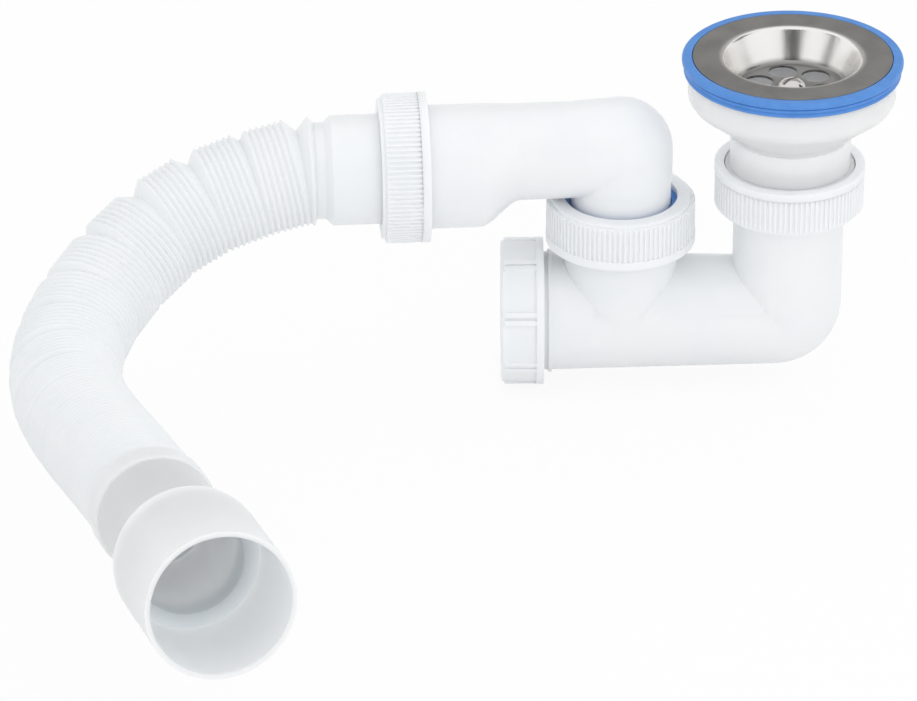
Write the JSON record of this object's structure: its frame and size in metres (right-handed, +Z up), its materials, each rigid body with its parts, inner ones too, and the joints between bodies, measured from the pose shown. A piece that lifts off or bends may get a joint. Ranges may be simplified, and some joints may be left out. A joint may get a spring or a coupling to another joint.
{
  "type": "sink waste trap",
  "caption": "White sink waste trap with steel strainer, blue gaskets, ribbed union nuts, screw cleanout cap, outlet elbow and a flexible bellows hose with stepped end.",
  "frame": {"origin": "on the waste's axis, in the plane between the two gaskets where the sink's sheet is clamped", "axes": "+Z up along the waste's axis, X along the trap's level tube with the inlet at +X, -Y to the viewer"},
  "size_m": [0.3189, 0.3363, 0.1302],
  "materials": {
    "steel": "brushed",
    "screw_steel": "polished",
    "blue_rubber": "matte",
    "seal_rubber": "matte",
    "white_plastic": "satin",
    "nut_plastic": "satin",
    "hose_plastic": "satin",
    "brass_insert": "machined"
  },
  "bodies": {
    "waste": {"strainer": "steel", "strainer_screw": "screw_steel", "upper_gasket": "blue_rubber", "lower_gasket": "blue_rubber", "waste_body": "white_plastic", "screw_insert": "brass_insert"},
    "inlet_washer": {"inlet_seal": "seal_rubber"},
    "inlet_nut": {"inlet_union_nut": "nut_plastic"},
    "trap": {"trap_body": "white_plastic"},
    "cap_washer": {"cleanout_seal": "seal_rubber"},
    "cap": {"cleanout_cap": "nut_plastic"},
    "riser_washer": {"riser_seal": "seal_rubber"},
    "riser_nut": {"riser_union_nut": "nut_plastic"},
    "elbow": {"outlet_elbow": "white_plastic"},
    "outlet_washer": {"outlet_seal": "seal_rubber"},
    "outlet_nut": {"outlet_union_nut": "nut_plastic"},
    "hose": {"hose_cuff": "hose_plastic", "drain_hose": "hose_plastic", "end_cuff": "hose_plastic"}
  },
  "joints": [
    {"name": "trap_swivel", "type": "hinge", "parent": "waste", "child": "trap", "pos_m": [0, 0, -0.043], "axis": [0, 0, 1], "continuous": true},
    {"name": "inlet_nut_travel", "type": "slide", "parent": "waste", "child": "inlet_washer", "axis": [0, 0, -1], "range_m": [0, 0.012]},
    {"name": "inlet_nut_turn", "type": "hinge", "parent": "inlet_washer", "child": "inlet_nut", "pos_m": [0, 0, -0.048], "axis": [0, 0, -1], "range_deg": [0, 1440]},
    {"name": "cap_travel", "type": "slide", "parent": "trap", "child": "cap_washer", "axis": [-1, 0, 0], "range_m": [0, 0.012]},
    {"name": "cap_turn", "type": "hinge", "parent": "cap_washer", "child": "cap", "pos_m": [-0.097, 0, -0.1003], "axis": [-1, 0, 0], "range_deg": [0, 1440]},
    {"name": "riser_nut_travel", "type": "slide", "parent": "trap", "child": "riser_washer", "axis": [0, 0, 1], "range_m": [0, 0.00083433]},
    {"name": "riser_nut_turn", "type": "hinge", "parent": "riser_washer", "child": "riser_nut", "pos_m": [-0.0614, 0, -0.061], "axis": [0, 0, 1], "range_deg": [0, 100]},
    {"name": "elbow_swivel", "type": "hinge", "parent": "trap", "child": "elbow", "pos_m": [-0.0614, 0, -0.0584], "axis": [0, 0, 1], "range_deg": [-100, 100]},
    {"name": "outlet_nut_travel", "type": "slide", "parent": "elbow", "child": "outlet_washer", "axis": [-0.9978, -0.0663, 0], "range_m": [0, 0.012]},
    {"name": "outlet_nut_turn", "type": "hinge", "parent": "outlet_washer", "child": "outlet_nut", "pos_m": [-0.14023, -0.00524, -0.0385], "axis": [-0.9978, -0.0663, 0], "range_deg": [0, 1440]},
    {"name": "hose_swivel", "type": "hinge", "parent": "elbow", "child": "hose", "pos_m": [-0.14322, -0.00543, -0.0385], "axis": [-0.9978, -0.0663, 0], "continuous": true}
  ],
  "couplings": [
    {"joint": "inlet_nut_travel", "follows": "inlet_nut_turn", "m_per_rad": 0.00047746},
    {"joint": "cap_travel", "follows": "cap_turn", "m_per_rad": 0.00047746},
    {"joint": "riser_nut_travel", "follows": "riser_nut_turn", "m_per_rad": 0.00047746},
    {"joint": "outlet_nut_travel", "follows": "outlet_nut_turn", "m_per_rad": 0.00047746}
  ]
}
